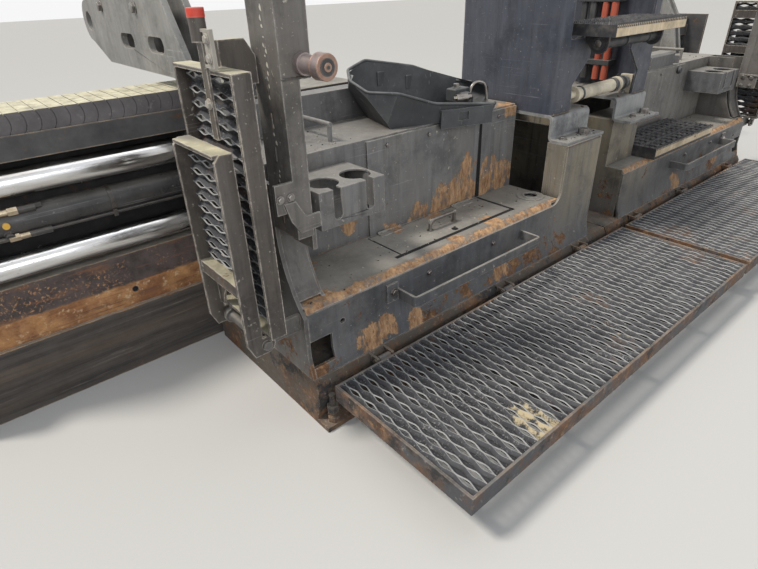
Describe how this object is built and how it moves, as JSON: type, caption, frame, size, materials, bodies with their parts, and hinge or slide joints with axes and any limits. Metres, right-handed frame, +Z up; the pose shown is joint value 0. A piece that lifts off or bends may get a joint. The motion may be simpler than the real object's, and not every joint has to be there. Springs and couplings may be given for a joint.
{
  "type": "extendable paver screed",
  "caption": "Extendable rear screed of an asphalt paver with walkways, folding end steps, chrome guide tubes, end gates and tow brackets.",
  "frame": {"origin": "middle of the base on the ground, centred along X and Y over the whole assembly", "axes": "+X to the machine's right along the paving width, +Y the paving direction, +Z up"},
  "size_m": [4.708, 1.992, 1.312],
  "materials": {
    "dark_paint": "worn satin paint with scratches",
    "worn_paint": "paint worn to grey, gritty",
    "rusty_steel": "rust and asphalt crust",
    "walkway_steel": "worn expanded metal with rusty edges",
    "chrome": "hard chrome with oil film",
    "ram_paint": "oily black paint",
    "worn_steel": "handled bare steel",
    "cream_paint": "dirty cream paint",
    "black_plastic": "dusty black plastic"
  },
  "bodies": {
    "main": {"sole_left": "rusty_steel", "sole_right": "rusty_steel", "skirt_left": "dark_paint", "skirt_right": "dark_paint", "grab_bar_left": "rusty_steel", "grab_bar_right": "rusty_steel", "shelf_left": "worn_paint", "shelf_right": "worn_paint", "upper_left": "dark_paint", "upper_right": "dark_paint", "front_left": "dark_paint", "front_right": "dark_paint", "end_frame_left": "dark_paint", "end_frame_right": "dark_paint", "post_left": "dark_paint", "post_right": "dark_paint", "knob_left": "worn_steel", "knob_right": "worn_steel", "rack_left": "dark_paint", "rack_right": "dark_paint", "centre_block_left": "dark_paint", "centre_block_right": "dark_paint", "tower_left": "dark_paint", "tower_right": "dark_paint", "turnbuckle": "cream_paint", "centre_step": "worn_steel", "shelf_step": "rusty_steel", "centre_bearing": "dark_paint", "rod_left": "chrome", "rod_right": "chrome", "tow_left": "worn_paint", "tow_right": "worn_paint", "cup_holder_left": "dark_paint", "cup_holder_right": "dark_paint", "tray": "black_plastic", "rack_decks": "walkway_steel"},
    "extender_left": {"extender_left": "rusty_steel", "tubes_left": "chrome", "barrel_left": "ram_paint", "chain_left": "black_plastic"},
    "extender_right": {"extender_right": "rusty_steel", "tubes_right": "chrome", "barrel_right": "ram_paint", "chain_right": "black_plastic"},
    "gate_left": {"gate_left": "dark_paint"},
    "gate_right": {"gate_right": "dark_paint"},
    "end_step_left": {"end_step_left": "dark_paint", "step_deck_left": "walkway_steel"},
    "end_step_right": {"end_step_right": "dark_paint", "step_deck_right": "walkway_steel"},
    "walkway_left": {"walkway_left": "walkway_steel", "walk_deck_left": "walkway_steel"},
    "walkway_right": {"walkway_right": "walkway_steel", "walk_deck_right": "walkway_steel"},
    "lid": {"lid": "worn_paint"}
  },
  "joints": [
    {"name": "extend_left", "type": "slide", "parent": "main", "child": "extender_left", "axis": [-1, 0, 0], "range_m": [-0.762, 0.64]},
    {"name": "extend_right", "type": "slide", "parent": "main", "child": "extender_right", "axis": [1, 0, 0], "range_m": [-0.762, 0.64]},
    {"name": "gate_left_lift", "type": "slide", "parent": "extender_left", "child": "gate_left", "axis": [0, 0, 1], "range_m": [0, 0.12]},
    {"name": "gate_right_lift", "type": "slide", "parent": "extender_right", "child": "gate_right", "axis": [0, 0, 1], "range_m": [0, 0.12]},
    {"name": "end_step_left_fold", "type": "hinge", "parent": "main", "child": "end_step_left", "pos_m": [-1.638, -0.333, 0.331], "axis": [0, -1, 0], "range_deg": [0, 90]},
    {"name": "end_step_right_fold", "type": "hinge", "parent": "main", "child": "end_step_right", "pos_m": [1.638, -0.333, 0.331], "axis": [0, 1, 0], "range_deg": [0, 90]},
    {"name": "walkway_left_fold", "type": "hinge", "parent": "main", "child": "walkway_left", "pos_m": [-0.716, -0.49, 0.146], "axis": [-1, 0, 0], "range_deg": [0, 70]},
    {"name": "walkway_right_fold", "type": "hinge", "parent": "main", "child": "walkway_right", "pos_m": [0.716, -0.49, 0.146], "axis": [-1, 0, 0], "range_deg": [0, 70]},
    {"name": "lid_open", "type": "hinge", "parent": "main", "child": "lid", "pos_m": [-0.845, -0.205, 0.38], "axis": [-1, 0, 0], "range_deg": [0, 62]}
  ]
}
